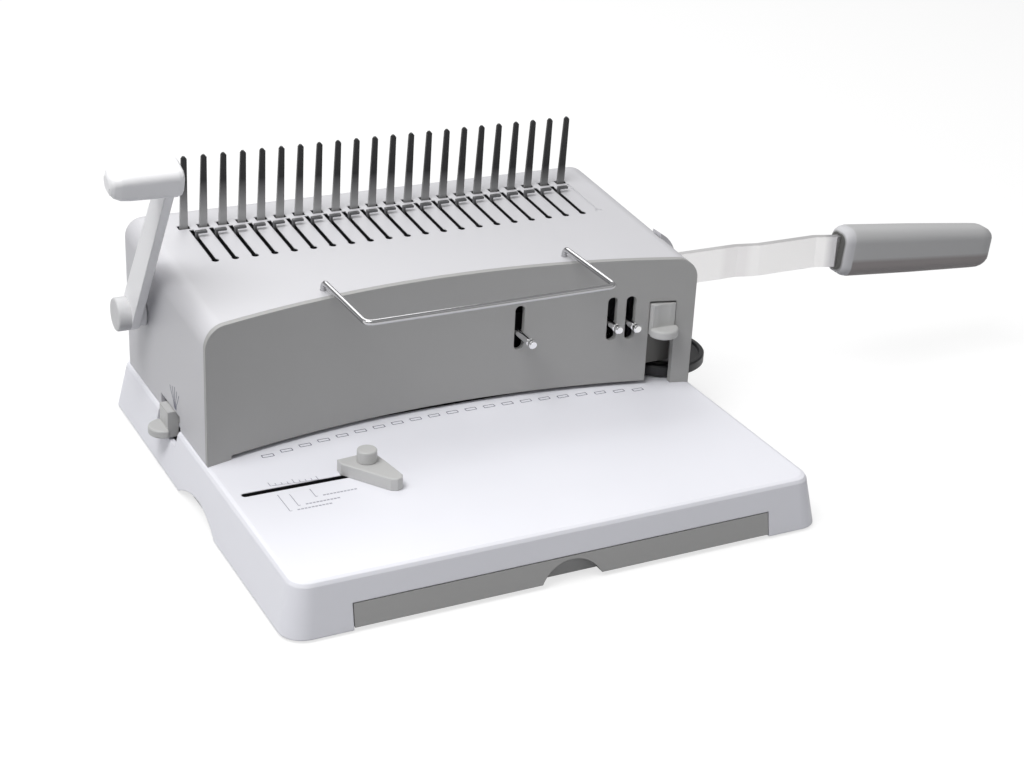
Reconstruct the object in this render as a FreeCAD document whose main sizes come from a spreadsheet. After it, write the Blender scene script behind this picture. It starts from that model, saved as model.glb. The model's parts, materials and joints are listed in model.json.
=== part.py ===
import FreeCAD, Part
import math
import os
import re
import Sketcher

# Comb binding machine: base tray with waste drawer, punch under a curved
# front panel, comb opener with tines and hooks on top. Millimetres,
# X to the right, Y to the back, Z up, origin on the desk under the base.

V = FreeCAD.Vector
X_AXIS = V(1, 0, 0)
Y_AXIS = V(0, 1, 0)
Z_AXIS = V(0, 0, 1)
RINGS = 21
TINES = RINGS + 1

os.makedirs("parts", exist_ok=True)
doc = FreeCAD.newDocument("comb_binder")

# Driving sizes
SIZES = (
    ("foot_height", 2.0), ("base_depth", 364.0),
    ("base_top", 37.0), ("base_inset", 7.0), ("base_corner", 16.0),
    ("base_wall", 3.0), ("base_edge", 3.0),
    ("housing_back", 175.0), ("skin", 3.0),
    ("side_round", 14.0), ("panel_thick", 4.0),
    ("arc_radius", 675.6), ("arc_mid", 13.0),
    ("top_front", 137.0), ("top_slope", 4.574), ("throat_gap", 3.0),
    ("comb_pitch", 14.2875), ("tine_row", 125.4), ("tine_wide", 5.6),
    ("tine_tip", 3.8), ("tine_thick", 2.2), ("tine_tall", 54.0),
    ("slot_wide", 3.2), ("slot_front", 70.0), ("slot_back", 120.4),
    ("slot_shift", 4.0), ("hook_row", 108.4), ("hook_reach", 8.0),
    ("hook_tall", 4.5), ("hook_thick", 1.6),
    ("carriage_top", -5.3), ("carriage_thick", 2.0),
    ("lever_y", 122.0), ("lever_z", 95.0), ("lever_long", 163.0),
    ("lever_lean", 36.0), ("lever_thick", 6.0), ("lever_gap", 6.0),
    ("shaft_radius", 6.0), ("crank_radius", 34.0), ("crank_back", 22.0),
    ("yoke_rest", 120.37), ("yoke_wide", 7.4), ("crank_pin", 3.0),
    ("run_clear", 0.06),
    ("die_row", 27.0), ("die_thick", 6.0),
    ("punch_wide", 7.0), ("punch_deep", 2.8), ("punch_low", 34.0),
    ("beam_low", 76.0), ("beam_tall", 22.0), ("beam_front", 22.0),
    ("beam_deep", 24.0), ("post_x", 112.0), ("post_y", 39.0),
    ("post_radius", 5.0), ("roller_x", 100.0), ("roller_z", 86.0),
    ("roller_radius", 4.0), ("cam_front", 48.0), ("cam_thick", 4.0),
    ("cam_travel", 10.715), ("punch_stroke", 10.0), ("cam_clear", 0.12),
    ("hub_z", 112.0), ("hub_radius", 20.0),
    ("hub_crank", 14.0), ("hub_lag", 22.5), ("hub_front", 36.0),
    ("hub_deep", 11.0), ("pivot_radius", 5.0),
    ("bar_thick", 5.0), ("bar_low", 95.5), ("bar_tall", 25.0),
    ("grip_start", 336.0), ("grip_long", 152.0), ("grip_tall", 39.0),
    ("grip_deep", 26.0), ("grip_droop", 5.5),
    ("pin_clear", 4.9), ("side_room", 42.125), ("ledge", 1.5),
    ("pin_z", 87.0), ("pin_radius", 3.0), ("pin_slot_low", 74.0),
    ("pin_slot_high", 108.0), ("pin_slot_wide", 7.4), ("pin_pull", 10.0),
    ("notch_wide", 19.5), ("notch_high", 103.0),
    ("dial_y", 30.5), ("dial_radius", 35.0),
    ("dial_low", 38.6), ("dial_thick", 8.0), ("spindle_radius", 2.5),
    ("guide_x", -91.0), ("guide_y", -57.5), ("guide_slot", 5.0),
    ("guide_left", -175.0), ("guide_wide", 29.0), ("guide_tall", 8.6),
    ("knob_radius", 6.8), ("knob_tall", 8.6), ("screw_radius", 2.0),
    ("drawer_back", 62.0), ("drawer_tall", 15.2),
    ("drawer_wall", 2.0), ("drawer_gap", 0.7),
    ("plate_thick", 1.2), ("wire_x", 91.7), ("wire_y", 20.0),
    ("wire_radius", 2.0), ("wire_reach", 75.0), ("wire_rise", 6.6),
    ("side_notch_mid", 66.0), ("side_notch_half", 21.0),
    ("fix_radius", 1.5),
)
# Sizes that follow from the hole row
FOLLOWING = (
    ("row_half", "=10 * comb_pitch"),
    ("housing_half", "=row_half + side_room"),
    ("base_width", "=2 * (housing_half + ledge + base_inset)"),
    ("die_half", "=row_half + punch_wide / 2 + 1.525"),
    ("drawer_half", "=die_half + 1.7"),
    ("notch_left", "=housing_half - 33"),
    ("hub_x", "=housing_half - 15.5"),
    ("dial_x", "=housing_half - 1"),
    ("pin_three", "=row_half - pin_clear + 0.025"),
    ("pin_two", "=pin_three - 13.8"),
    ("pin_one", "=4 * comb_pitch - 3.35"),
)
sheet = doc.addObject("Spreadsheet::Sheet", "Sizes")
for row, (alias, number) in enumerate(SIZES + FOLLOWING, 1):
    sheet.set("A%d" % row, alias)
    sheet.set("B%d" % row, str(number))
    sheet.setAlias("B%d" % row, alias)
doc.recompute()
ALIASES = {alias for alias, number in SIZES + FOLLOWING}
WORD = re.compile(r"[A-Za-z_]\w*")
parts = []


def val(alias):
    return float(sheet.get(alias))


def bound(text):
    """Put the sheet's name before every size named in an expression."""
    return WORD.sub(lambda hit: "Sizes." + hit.group(0) if hit.group(0) in ALIASES else hit.group(0),
                    str(text))


def tie(obj, prop, text):
    obj.setExpression(prop, bound(text))


def box(name, corner, size):
    obj = doc.addObject("Part::Box", name)
    for prop, text in zip(("Length", "Width", "Height"), size):
        tie(obj, prop, text)
    for axis, text in zip("xyz", corner):
        tie(obj, "Placement.Base." + axis, text)
    return obj


def rod(name, start, along, radius, length):
    obj = doc.addObject("Part::Cylinder", name)
    obj.Placement = FreeCAD.Placement(V(), FreeCAD.Rotation(Z_AXIS, along))
    tie(obj, "Radius", radius)
    tie(obj, "Height", length)
    for axis, text in zip("xyz", start):
        tie(obj, "Placement.Base." + axis, text)
    return obj


def fuse(name, pieces):
    obj = doc.addObject("Part::MultiFuse", name)
    obj.Shapes = pieces
    obj.Refine = True
    return obj


def group(name, pieces):
    obj = doc.addObject("Part::Compound", name)
    obj.Links = pieces
    return obj


def cut(name, base, tools):
    obj = doc.addObject("Part::Cut", name)
    obj.Base = base
    obj.Tool = tools[0] if len(tools) == 1 else fuse(name + "_tools", tools)
    obj.Refine = True
    return obj


def common(name, first, second):
    obj = doc.addObject("Part::Common", name)
    obj.Base = first
    obj.Tool = second
    return obj


def rounded(name, base, radius, wanted):
    """Fillet the edges of base for which wanted(edge) holds."""
    doc.recompute()
    obj = doc.addObject("Part::Fillet", name)
    obj.Base = base
    size = val(radius) if isinstance(radius, str) else radius
    obj.Edges = [(n, size, size) for n, edge in enumerate(base.Shape.Edges, 1) if wanted(edge)]
    return obj


def part(obj, label):
    obj.Label = label
    parts.append(obj)
    return obj


def body(name):
    return doc.addObject("PartDesign::Body", name)


def sketch(owner, name, role, offset="0"):
    """Make a sketch on one of the body's origin planes, offset along its normal."""
    obj = owner.newObject("Sketcher::SketchObject", name)
    plane = next(item for item in owner.Origin.OriginFeatures if item.Role == role)
    obj.AttachmentSupport = [(plane, "")]
    obj.MapMode = "FlatFace"
    tie(obj, "AttachmentOffset.Base.z", offset)
    return obj


def outline(target, points):
    """Draw a closed polygon whose corners stay joined."""
    count = len(points)
    for n in range(count):
        start = V(points[n][0], points[n][1], 0)
        end = V(points[(n + 1) % count][0], points[(n + 1) % count][1], 0)
        target.addGeometry(Part.LineSegment(start, end), False)
    for n in range(count):
        target.addConstraint(Sketcher.Constraint("Coincident", n, 2, (n + 1) % count, 1))


def rounded_frame(target, wide, tall, corner):
    """Draw a rectangle with round corners about the sketch origin, its sizes tied to the sheet."""
    half_x = val_of(wide) / 2
    half_y = val_of(tall) / 2
    r = val_of(corner)
    ends = ((half_x - r, half_y - r), (r - half_x, half_y - r), (r - half_x, r - half_y),
            (half_x - r, r - half_y))
    lines = ((V(half_x - r, half_y, 0), V(r - half_x, half_y, 0)),
             (V(-half_x, half_y - r, 0), V(-half_x, r - half_y, 0)),
             (V(r - half_x, -half_y, 0), V(half_x - r, -half_y, 0)),
             (V(half_x, r - half_y, 0), V(half_x, half_y - r, 0)))
    for start, end in lines:
        target.addGeometry(Part.LineSegment(start, end), False)
    for n, (cx, cy) in enumerate(ends):
        circle = Part.Circle(V(cx, cy, 0), Z_AXIS, r)
        target.addGeometry(Part.ArcOfCircle(circle, n * math.pi / 2, (n + 1) * math.pi / 2), False)
    rules = [("Tangent", 0, 1, 4, 2), ("Tangent", 0, 2, 5, 1), ("Tangent", 1, 1, 5, 2),
             ("Tangent", 1, 2, 6, 1), ("Tangent", 2, 1, 6, 2), ("Tangent", 2, 2, 7, 1),
             ("Tangent", 3, 1, 7, 2), ("Tangent", 3, 2, 4, 1),
             ("Horizontal", 0), ("Vertical", 1), ("Equal", 4, 5), ("Equal", 5, 6), ("Equal", 6, 7),
             ("Symmetric", 4, 3, 6, 3, -1, 1)]
    for rule in rules:
        target.addConstraint(Sketcher.Constraint(*rule))
    for name, rule, text in (("wide", ("DistanceX", 5, 3, 4, 3), "(%s) - 2 * (%s)" % (wide, corner)),
                             ("tall", ("DistanceY", 7, 3, 4, 3), "(%s) - 2 * (%s)" % (tall, corner)),
                             ("corner", ("Radius", 4), corner)):
        size = {"wide": 2 * (half_x - r), "tall": 2 * (half_y - r), "corner": r}[name]
        index = target.addConstraint(Sketcher.Constraint(*rule, size))
        target.renameConstraint(index, name)
        tie(target, "Constraints." + name, text)


def val_of(text):
    """Work out an expression of sheet sizes with the sheet itself."""
    sheet.set("D1", "=" + str(text))
    sheet.recompute()
    return float(sheet.get("D1"))


def sloped(obj):
    """Put a piece made in the top plane's own frame onto the sloping top."""
    obj.Placement = FreeCAD.Placement(V(0, val("arc_mid"), val("top_front")),
                                      FreeCAD.Rotation(X_AXIS, val("top_slope")))
    return obj


def front_y(x):
    """Y of the concave front face at a given X."""
    r = val("arc_radius")
    return val("arc_mid") - r + math.sqrt(r * r - x * x)


def tine_x(n):
    return "(%g) * comb_pitch" % (n - (TINES - 1) / 2)


def lofted(owner, name, sections, ruled=True):
    obj = owner.newObject("PartDesign::AdditiveLoft", name)
    obj.Profile = sections[0]
    obj.Sections = sections[1:]
    obj.Ruled = ruled
    return obj


# Base
SCREW_X = val("housing_half") - 17
SCREW_Y = val("base_depth") / 2 - 32
BASE_SCREWS = [(x, y) for x in (-SCREW_X, SCREW_X) for y in (-SCREW_Y, -20, SCREW_Y)]
POST_X = val("housing_half") - 7
COVER_SCREWS = ((-POST_X, 20), (-POST_X, val("housing_back") - 12), (POST_X, 95),
                (POST_X, val("housing_back") - 12))


def tray_block(name, wide, deep, corner, levels):
    """Drafted block with round corners through a list of (height, inset) levels."""
    owner = body(name)
    sections = []
    for n, (height, inset) in enumerate(levels):
        section = sketch(owner, name + "_level%d" % n, "XY_Plane", height)
        rounded_frame(section, "%s - 2 * (%s)" % (wide, inset), "%s - 2 * (%s)" % (deep, inset),
                      "%s - 0.5 * (%s)" % (corner, inset))
        sections.append(section)
    lofted(owner, name + "_loft", sections)
    return owner


def make_base():
    edge = "base_top - base_edge"
    outer = tray_block("tray_outer", "base_width", "base_depth", "base_corner",
                       (("foot_height", "0"), (edge, "0.91 * base_inset"), ("base_top - 0.3 * base_edge",
                        "base_inset + 0.2 * base_edge"), ("base_top", "base_inset + base_edge")))
    inner = tray_block("tray_inner", "(base_width - 2 * base_wall)", "(base_depth - 2 * base_wall)",
                       "(base_corner - base_wall)",
                       (("foot_height - 0.5", "0"), ("base_top - base_wall", "base_inset")))
    shell = cut("tray_shell", outer, [inner])
    ledge = box("die_ledge", ("-die_half - 8", "10", "28"), ("2 * die_half + 16", "46", "base_top - 28.5"))
    pieces = [shell, ledge]
    for n, (x, y) in enumerate(BASE_SCREWS):
        pieces.append(rod("tray_boss%d" % n, (x, y, "foot_height + plate_thick"), Z_AXIS, "5",
                          "base_top - 1 - foot_height - plate_thick"))
    pieces.append(rod("dial_boss", ("dial_x", "dial_y", "base_top - 3"), Z_AXIS, "3.6", "4.4"))
    pieces.append(box("slider_fence", ("-housing_half + skin + 2.6", "side_notch_mid - 31", "base_top - 1"),
                      ("2", "62", "13")))
    solid = fuse("tray_solid", pieces)
    tools = [
        box("drawer_mouth", ("-drawer_half - drawer_gap", "-base_depth / 2 - 5", "foot_height - 1"),
            ("2 * (drawer_half + drawer_gap)", "25", "drawer_tall + 3.1")),
        box("die_pocket", ("-die_half", "16", "base_top - die_thick"),
            ("2 * die_half", "32", "die_thick + 5")),
        box("chip_window", ("-die_half + 1.5", "die_row - 6", "20"), ("2 * die_half - 3", "12", "15")),
        box("guide_slot_cut", ("guide_left", "guide_y - guide_slot / 2", "base_top - 6"),
            ("guide_x + 8 - guide_left", "guide_slot", "10")),
        rod("guide_slot_end", ("guide_left", "guide_y", "base_top - 6"), Z_AXIS, "guide_slot / 2", "10"),
        rod("guide_slot_start", ("guide_x + 8", "guide_y", "base_top - 6"), Z_AXIS, "guide_slot / 2", "10"),
        rod("hand_arch", ("-base_width / 2 - 5", "-11", "foot_height - 63.5"), X_AXIS, "73.5",
            "base_width + 10"),
        rod("spindle_hole", ("dial_x", "dial_y", "20"), Z_AXIS, "spindle_radius", "30"),
    ]
    tools.append(box("ledge_notch",
                     ("-base_width / 2 - 5", "side_notch_mid - side_notch_half", "base_top - 12"),
                     ("base_width / 2 + 5 - housing_half + skin", "2 * side_notch_half", "20")))
    for n, (x, y) in enumerate(BASE_SCREWS):
        tools.append(rod("boss_hole%d" % n, (x, y, "0"), Z_AXIS, "fix_radius", "14"))
    for n, (x, y) in enumerate(COVER_SCREWS):
        tools.append(rod("cover_hole%d" % n, (x, y, "20"), Z_AXIS, "fix_radius", "30"))
    keep = box("arch_keep", ("-base_width / 2 + 12", "-60", "-10"), ("base_width - 24", "120", "30"))
    tools[6] = cut("arch_sides", tools[6], [keep])
    part(cut("base_tray_cut", solid, tools), "base_tray")


def make_bottom():
    plate = box("bottom_sheet", ("-base_width / 2 + 7", "-base_depth / 2 + 12", "foot_height"),
                ("base_width - 14", "base_depth - 22", "plate_thick"))
    pieces = [plate]
    for n, start in enumerate(("-drawer_half - drawer_gap - 2", "drawer_half + drawer_gap")):
        pieces.append(box("drawer_rail%d" % n, (start, "-base_depth / 2 + 14", "foot_height"),
                          ("2", "drawer_back + base_depth / 2 - 4", "drawer_tall + 1")))
    stop = box("drawer_stop", ("-20", "drawer_back + 1", "foot_height"), ("40", "2", "drawer_tall"))
    pieces.append(stop)
    solid = fuse("bottom_solid", pieces)
    tools = [box("finger_gap", ("-24", "-base_depth / 2", "0"), ("48", "34", "10"))]
    for n, (x, y) in enumerate(BASE_SCREWS):
        tools.append(rod("bottom_hole%d" % n, (x, y, "0"), Z_AXIS, "fix_radius", "9"))
    part(cut("bottom_cut", solid, tools), "base_bottom_plate")
    feet = []
    screws = []
    for n, x in enumerate((-val("drawer_half") - 0.4, val("drawer_half") + 0.4)):
        for y in (-120, 120):
            name = "foot_%d_%d" % (n, y + 200)
            feet.append(rod(name, (x, y, "0"), Z_AXIS, "9", "foot_height"))
    part(group("feet_group", feet), "rubber_feet")
    for n, (x, y) in enumerate(BASE_SCREWS):
        head = rod("base_head%d" % n, (x, y, "0.4"), Z_AXIS, "3", "foot_height - 0.4")
        shank = rod("base_shank%d" % n, (x, y, "0.4"), Z_AXIS, "fix_radius", "12")
        screws.append(fuse("base_screw%d" % n, [head, shank]))
    part(group("base_screw_group", screws), "base_screws")
    screws = []
    for n, (x, y) in enumerate(COVER_SCREWS):
        head = rod("cover_head%d" % n, (x, y, "base_top - base_wall - 2.4"), Z_AXIS, "3", "2.4")
        shank = rod("cover_shank%d" % n, (x, y, "base_top - base_wall - 2.4"), Z_AXIS, "fix_radius", "14")
        screws.append(fuse("cover_screw%d" % n, [head, shank]))
    part(group("cover_screw_group", screws), "cover_screws")


def make_drawer():
    owner = body("drawer_body")
    low = val("foot_height") + val("plate_thick") + 0.2
    high = low + val("drawer_tall")
    front = -val("base_depth") / 2
    lean = val("base_inset") / (val("base_top") - val("foot_height"))
    base = val("foot_height")
    corners = [(front + lean * (low - base) + 0.1, low), (front + lean * (high - base) + 0.1, high),
               (val("drawer_back"), high), (val("drawer_back"), low)]
    side = sketch(owner, "drawer_side", "YZ_Plane")
    outline(side, corners)
    pad = owner.newObject("PartDesign::Pad", "drawer_pad")
    pad.Profile = side
    pad.Midplane = True
    tie(pad, "Length", "2 * drawer_half")
    wall = val("drawer_wall")
    hollow = box("drawer_hollow", ("-drawer_half + drawer_wall", front + 9, low + wall),
                 ("2 * (drawer_half - drawer_wall)", "drawer_back - drawer_wall - (%g)" % (front + 9), "40"))
    bell = rod("drawer_finger", ("0", front - 5, low + 13 - 24.3), Y_AXIS, "24.3", "13")
    shelf = box("finger_back", ("-24", front + 8, low), ("48", "2", "drawer_tall"))
    shell = cut("drawer_shell", owner, [hollow])
    notched = cut("drawer_notched", shell, [bell])
    part(fuse("drawer_whole", [notched, shelf]), "waste_drawer")


# Housing
def housing_block(name, half, back, drop, radius):
    """Block with a sloping top and rounded top and rear edges."""
    block = box(name + "_block", ("-(%s)" % half, "-60", "base_top"),
                ("2 * (%s)" % half, "60 + (%s)" % back, "160"))
    lid = box(name + "_lid", ("-400", "-300", "0"), ("800", "800", "200"))
    lid.setExpression("Placement.Base.x", None)
    lid.setExpression("Placement.Base.y", None)
    lid.setExpression("Placement.Base.z", None)
    sloped(lid)
    lid.Placement = lid.Placement.multiply(FreeCAD.Placement(V(-400, -300, -drop), FreeCAD.Rotation()))
    sloping = cut(name + "_sloping", block, [lid])
    x_side = val_of(half)
    y_back = val_of(back)

    def wanted(edge):
        frame = edge.BoundBox
        at_back = abs(frame.YMin - y_back) < 0.01 and abs(frame.YMax - y_back) < 0.01
        at_side = abs(frame.XMax - frame.XMin) < 0.01 and abs(abs(frame.XMin) - x_side) < 0.01
        return (at_back and frame.ZMax > 60) or (at_side and frame.ZMin > 60)

    return rounded(name, sloping, radius, wanted)


def make_housing():
    outer = housing_block("housing_outer", "housing_half", "housing_back", 0, "side_round")
    inner = housing_block("housing_inner", "housing_half - skin", "housing_back - skin", val("skin"),
                          val("side_round") - val("skin"))
    front = rod("front_cylinder", ("0", "arc_mid - arc_radius", "0"), Z_AXIS, "arc_radius", "220")
    back = rod("panel_cylinder", ("0", "arc_mid - arc_radius", "0"), Z_AXIS, "arc_radius + panel_thick",
               "220")
    hollow = fuse("housing_hollow", [inner, back])
    shell = cut("cover_shell", outer, [hollow])
    pieces = [shell]
    for n, (x, y) in enumerate(COVER_SCREWS):
        pieces.append(rod("cover_post%d" % n, (x, y, "base_top"), Z_AXIS, "5", "24"))
    for n, side in enumerate((-1, 1)):
        pieces.append(rod("wire_socket%d" % n, ("%d * wire_x" % side, "wire_y", "top_front - 18"), Z_AXIS,
                          "wire_radius + 2.5", "17"))
    solid = fuse("cover_solid", pieces)
    slots = []
    for n in range(TINES):
        place = tine_x(n)
        slots.append(box("tine_hole%d" % n, (place + " - tine_wide / 2 - 1.4", "tine_row - 3.2", "-20"),
                         ("tine_wide + 2.8", "6.4", "40")))
        depth = "-20" if n < RINGS else "-0.4"
        wide = "slot_wide" if n < RINGS else "1.2"
        slots.append(box("comb_slot%d" % n, (place + " + slot_shift - %s / 2" % wide, "slot_front", depth),
                         (wide, "slot_back - slot_front", "40")))
        slots.append(rod("slot_dot%d" % n, (place + " + slot_shift + 0.5", "slot_front", depth), Z_AXIS,
                         "slot_wide * 0.8", "40"))
    slot_group = sloped(fuse("cover_slots", slots))
    tools = [
        slot_group,
        rod("lever_hole", ("-housing_half - 5", "lever_y", "lever_z"), X_AXIS, "shaft_radius + 0.5", "15"),
        box("side_notch", ("-housing_half - 5", "side_notch_mid - side_notch_half", "base_top - 2"),
            ("10", "2 * side_notch_half", "12")),
        box("hub_window", ("housing_half - skin - 2", "29", "bar_low - 2.5"),
            ("10", "20.5", "hub_z - bar_low + 19")),
        box("bar_lane", ("hub_x + 7", "29", "bar_low - 2.5"), ("30", "9", "90")),
        box("dial_window", ("housing_half - skin - 2", "-9.4", "base_top - 2"), ("10", "77", "13")),
    ]
    for n, side in enumerate((-1, 1)):
        tools.append(rod("wire_hole%d" % n, ("%d * wire_x" % side, "wire_y", "top_front - 16"), Z_AXIS,
                         "wire_radius + run_clear", "40"))
    for n, (x, y) in enumerate(COVER_SCREWS):
        tools.append(rod("post_hole%d" % n, (x, y, "base_top - 1"), Z_AXIS, "fix_radius", "12"))
    disc = rod("guard_disc", ("hub_x + 2", "38.6", "hub_z + 1"), Y_AXIS, "hub_radius + 6", "12")
    side = box("guard_side", ("housing_half - 1.5", "30", "60"), ("60", "30", "120"))
    room = rod("guard_room", ("hub_x", "30", "hub_z"), Y_AXIS, "hub_radius + 0.8", "18")
    guard = cut("hub_guard", common("guard_half", disc, side), [room])
    part(fuse("cover_whole", [cut("cover_cut", solid, tools), guard]), "housing_cover")
    face = cut("panel_plate", common("panel_slice", outer, back), [front])
    ribs = [face]
    for n, start in enumerate(("notch_left - 7", "notch_left + notch_wide + 4.7")):
        deep = front_y(val_of(start)) + val("panel_thick") / 2
        ribs.append(box("slider_rib%d" % n, (start, deep, "50"), ("2.4", "3.5 - (%g)" % deep, "62")))
    ribbed = fuse("panel_ribbed", ribs)
    openings = [
        box("throat", ("-housing_half + 18", "-40", "base_top - 2"),
            ("housing_half - 18 + notch_left + 2", "80", "throat_gap + 2")),
        box("notch", ("notch_left", "-40", "base_top - 2"),
            ("notch_wide", "80", "notch_high - base_top + 2")),
    ]
    for n, name in enumerate(("pin_one", "pin_two", "pin_three")):
        openings.append(box("pin_slot%d" % n,
                            (name + " - pin_slot_wide / 2", "-40", "pin_slot_low + pin_slot_wide / 2"),
                            ("pin_slot_wide", "80", "pin_slot_high - pin_slot_low - pin_slot_wide")))
        for end, height in (("a", "pin_slot_low + pin_slot_wide / 2"),
                            ("b", "pin_slot_high - pin_slot_wide / 2")):
            openings.append(rod("pin_slot%d%s" % (n, end), (name, "-40", height), Y_AXIS,
                                "pin_slot_wide / 2", "80"))
    part(cut("panel_cut", ribbed, openings), "front_panel")
    part(box("keeper_plate", ("notch_left - 7.5", "3.5", "50"), ("notch_wide + 15.1", "2", "62")),
         "slider_keeper")


# Comb opener
def make_tines():
    bar = box("tine_bar_block", ("-%g * comb_pitch - 10" % ((TINES - 1) / 2), "tine_row - 4", "-16"),
              ("%d * comb_pitch + 20" % (TINES - 1), "8", "8"))
    ends = []
    for n, start in enumerate(("-%g * comb_pitch - 10" % ((TINES - 1) / 2),
                               "%g * comb_pitch + 5" % ((TINES - 1) / 2))):
        ends.append(box("tine_riser%d" % n, (start, "tine_row - 4", "-8"), ("5", "8", "8 - skin")))
    part(sloped(fuse("tine_bar_whole", [bar] + ends)), "tine_bar")
    half = val("tine_wide") / 2
    tip = val("tine_tip") / 2
    tall = val("tine_tall")
    tines = []
    for n in range(TINES):
        owner = body("tine%d" % n)
        face = sketch(owner, "tine_face%d" % n, "XZ_Plane")
        outline(face, [(-half, -8), (half, -8), (half, 4), (tip, tall - 1.5), (tip - 1.2, tall),
                       (1.2 - tip, tall), (-tip, tall - 1.5), (-half, 4)])
        pad = owner.newObject("PartDesign::Pad", "tine_pad%d" % n)
        pad.Profile = face
        pad.Midplane = True
        tie(pad, "Length", "tine_thick")
        tie(owner, "Placement.Base.x", tine_x(n))
        tie(owner, "Placement.Base.y", "tine_row")
        tines.append(owner)
    part(sloped(group("tine_group", tines)), "comb_tines")


def make_carriage():
    low = "carriage_top - carriage_thick"
    plate = box("carriage_plate", ("-row_half - 19.125", "hook_row - 28", low),
                ("2 * row_half + 28.25", "31", "carriage_thick"))
    ear = box("carriage_ear", ("-housing_half + 15", "hook_row - 13", low),
              ("side_room - 33.125", "27", "carriage_thick"))
    drop = box("yoke_plate", ("-housing_half + 17.5", "yoke_rest - 8", "-31"),
               ("3", "16", "31 + carriage_top"))
    slot = box("yoke_slot", ("-housing_half + 15", "yoke_rest - yoke_wide / 2", "-28"),
               ("9", "yoke_wide", "17"))
    whole = fuse("carriage_whole", [plate, ear, cut("yoke", drop, [slot])])
    part(sloped(whole), "hook_carriage")
    hooks = []
    for n in range(RINGS):
        place = tine_x(n) + " + slot_shift - hook_thick / 2"
        post = box("hook_post%d" % n, (place, "hook_row - 1.5", "carriage_top"),
                   ("hook_thick", "3", "hook_tall - carriage_top"))
        arm = box("hook_arm%d" % n, (place, "hook_row - 1.5", "hook_tall - hook_thick"),
                  ("hook_reach", "3", "hook_thick"))
        hooks.append(fuse("hook%d" % n, [post, arm]))
    part(sloped(group("hook_group", hooks)), "comb_hooks")
    rails = []
    for n, mid in enumerate((-val("row_half") - 4.125, val("row_half") + 0.125)):
        rail = box("rail_bar%d" % n, (mid - 3, "hook_row - 64.4", "carriage_top - carriage_thick - 6.2"),
                   ("6", "tine_row - 4 - hook_row + 64.4", "6"))
        hanger = box("rail_hanger%d" % n, (mid - 3, "hook_row - 64.4", "carriage_top - carriage_thick - 6.2"),
                     ("6", "6", "6.2 + carriage_thick - carriage_top - skin"))
        rails.append(fuse("rail%d" % n, [rail, hanger]))
    part(sloped(group("rail_group", rails)), "carriage_rails")


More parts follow.
